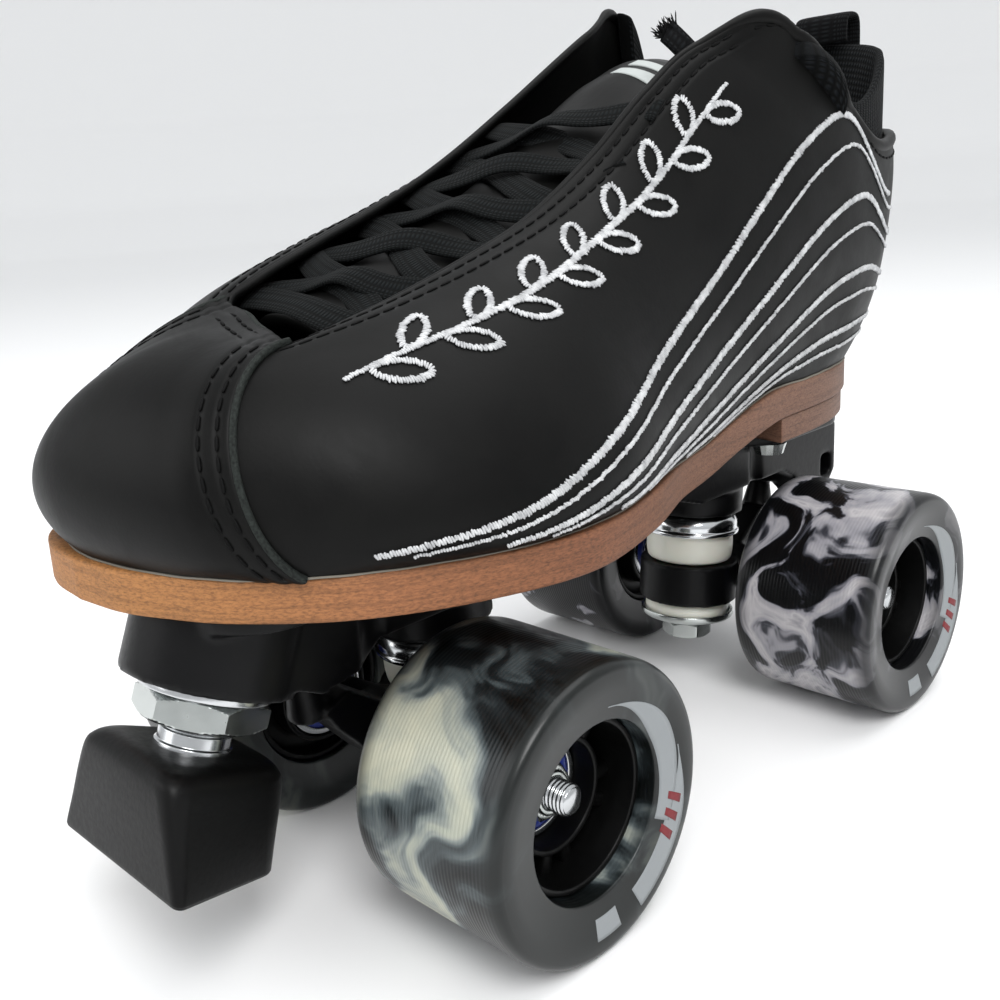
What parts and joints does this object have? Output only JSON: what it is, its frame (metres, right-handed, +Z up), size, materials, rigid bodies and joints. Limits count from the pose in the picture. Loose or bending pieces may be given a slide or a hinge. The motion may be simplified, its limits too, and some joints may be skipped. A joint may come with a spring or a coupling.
{
  "type": "quad roller skate",
  "caption": "Left quad roller skate: low laced leather boot on a nylon plate with two steering trucks, urethane wheels and a screw-in toe stop.",
  "frame": {"origin": "centre of the skate's footprint on the ground, under the middle of its bounding box", "axes": "+X to the toe, +Y to the wearer's left, +Z up"},
  "size_m": [0.2755, 0.128, 0.1952],
  "materials": {
    "black_leather": "smooth black leather, low sheen",
    "black_mesh": "ribbed black knitted mesh",
    "black_webbing": "woven black polyester",
    "sole_leather": "vegetable tanned sole leather, cut edge",
    "black_nylon": "glass-filled nylon, moulded",
    "chromed_steel": "bright chrome",
    "bright_steel": "turned bright steel",
    "zinc_plate": "bright zinc plate",
    "white_cushion": "ivory urethane, satin",
    "urethane_front": "cast urethane, pale with slate swirls",
    "urethane_rear": "cast urethane, near black with pale swirls",
    "black_hub": "black moulded nylon",
    "bearing_shield": "blue shield in a steel race",
    "black_rubber": "black moulded rubber"
  },
  "bodies": {
    "chassis": {"toe_cap": "black_leather", "quarter_outer": "black_leather", "quarter_inner": "black_leather", "tongue": "black_leather", "collar_padding": "black_mesh", "footbed": "black_mesh", "pull_loop": "black_webbing", "lace": "black_webbing", "outsole": "sole_leather", "heel_lift": "sole_leather", "plate": "black_nylon", "pivot_cup_front": "black_nylon", "pivot_cup_rear": "black_nylon", "cushion_cup_upper_front": "chromed_steel", "cushion_cup_upper_rear": "chromed_steel", "kingpin_front": "bright_steel", "kingpin_rear": "bright_steel", "toe_stop_washer": "bright_steel", "cushion_cup_lower_front": "zinc_plate", "cushion_cup_lower_rear": "zinc_plate", "kingpin_nut_front": "zinc_plate", "kingpin_nut_rear": "zinc_plate", "toe_stop_jam_nut": "zinc_plate", "mounting_bolt_front_left": "zinc_plate", "mounting_bolt_front_right": "zinc_plate", "mounting_bolt_rear_left": "zinc_plate", "mounting_bolt_rear_right": "zinc_plate", "cushion_upper_front": "white_cushion", "cushion_upper_rear": "white_cushion", "cushion_lower_front": "white_cushion", "cushion_lower_rear": "white_cushion"},
    "front_truck": {"hanger_front": "black_nylon", "axle_front": "bright_steel", "axle_nut_front_left": "zinc_plate", "axle_nut_front_right": "zinc_plate"},
    "rear_truck": {"hanger_rear": "black_nylon", "axle_rear": "bright_steel", "axle_nut_rear_left": "zinc_plate", "axle_nut_rear_right": "zinc_plate"},
    "wheel_front_left": {"tyre_front_left": "urethane_front", "hub_front_left": "black_hub", "bearing_outer_front_left": "bearing_shield", "bearing_inner_front_left": "bearing_shield"},
    "wheel_front_right": {"tyre_front_right": "urethane_front", "hub_front_right": "black_hub", "bearing_outer_front_right": "bearing_shield", "bearing_inner_front_right": "bearing_shield"},
    "wheel_rear_left": {"tyre_rear_left": "urethane_rear", "hub_rear_left": "black_hub", "bearing_outer_rear_left": "bearing_shield", "bearing_inner_rear_left": "bearing_shield"},
    "wheel_rear_right": {"tyre_rear_right": "urethane_rear", "hub_rear_right": "black_hub", "bearing_outer_rear_right": "bearing_shield", "bearing_inner_rear_right": "bearing_shield"},
    "toe_stop_screw": {"toe_stop_stem": "bright_steel"},
    "toe_stop_rubber": {"toe_stop_block": "black_rubber"}
  },
  "joints": [
    {"name": "front_steer", "type": "hinge", "parent": "chassis", "child": "front_truck", "pos_m": [0.05065, 0, 0.031], "axis": [0.8721, 0, 0.4893], "range_deg": [-8, 8], "stiffness_Nm_per_rad": 12, "deforming": ["cushion_upper_front", "cushion_lower_front"]},
    {"name": "spin_front_left", "type": "hinge", "parent": "front_truck", "child": "wheel_front_left", "pos_m": [0.06765, 0.044, 0.03085], "axis": [0, 1, 0], "continuous": true},
    {"name": "spin_front_right", "type": "hinge", "parent": "front_truck", "child": "wheel_front_right", "pos_m": [0.06765, -0.044, 0.03085], "axis": [0, 1, 0], "continuous": true},
    {"name": "rear_steer", "type": "hinge", "parent": "chassis", "child": "rear_truck", "pos_m": [-0.05335, 0, 0.031], "axis": [-0.8721, 0, 0.4893], "range_deg": [-8, 8], "stiffness_Nm_per_rad": 12, "deforming": ["cushion_upper_rear", "cushion_lower_rear"]},
    {"name": "spin_rear_left", "type": "hinge", "parent": "rear_truck", "child": "wheel_rear_left", "pos_m": [-0.07035, 0.044, 0.03085], "axis": [0, 1, 0], "continuous": true},
    {"name": "spin_rear_right", "type": "hinge", "parent": "rear_truck", "child": "wheel_rear_right", "pos_m": [-0.07035, -0.044, 0.03085], "axis": [0, 1, 0], "continuous": true},
    {"name": "toe_stop_height", "type": "slide", "parent": "chassis", "child": "toe_stop_screw", "axis": [0.3827, 0, -0.9239], "range_m": [-0.0045, 0.0045]},
    {"name": "toe_stop_turn", "type": "hinge", "parent": "toe_stop_screw", "child": "toe_stop_rubber", "pos_m": [0.11335, 0, 0.0579], "axis": [0.3827, 0, -0.9239], "range_deg": [-720, 720]}
  ],
  "couplings": [
    {"joint": "toe_stop_turn", "follows": "toe_stop_height", "rad_per_m": 2721.1}
  ]
}
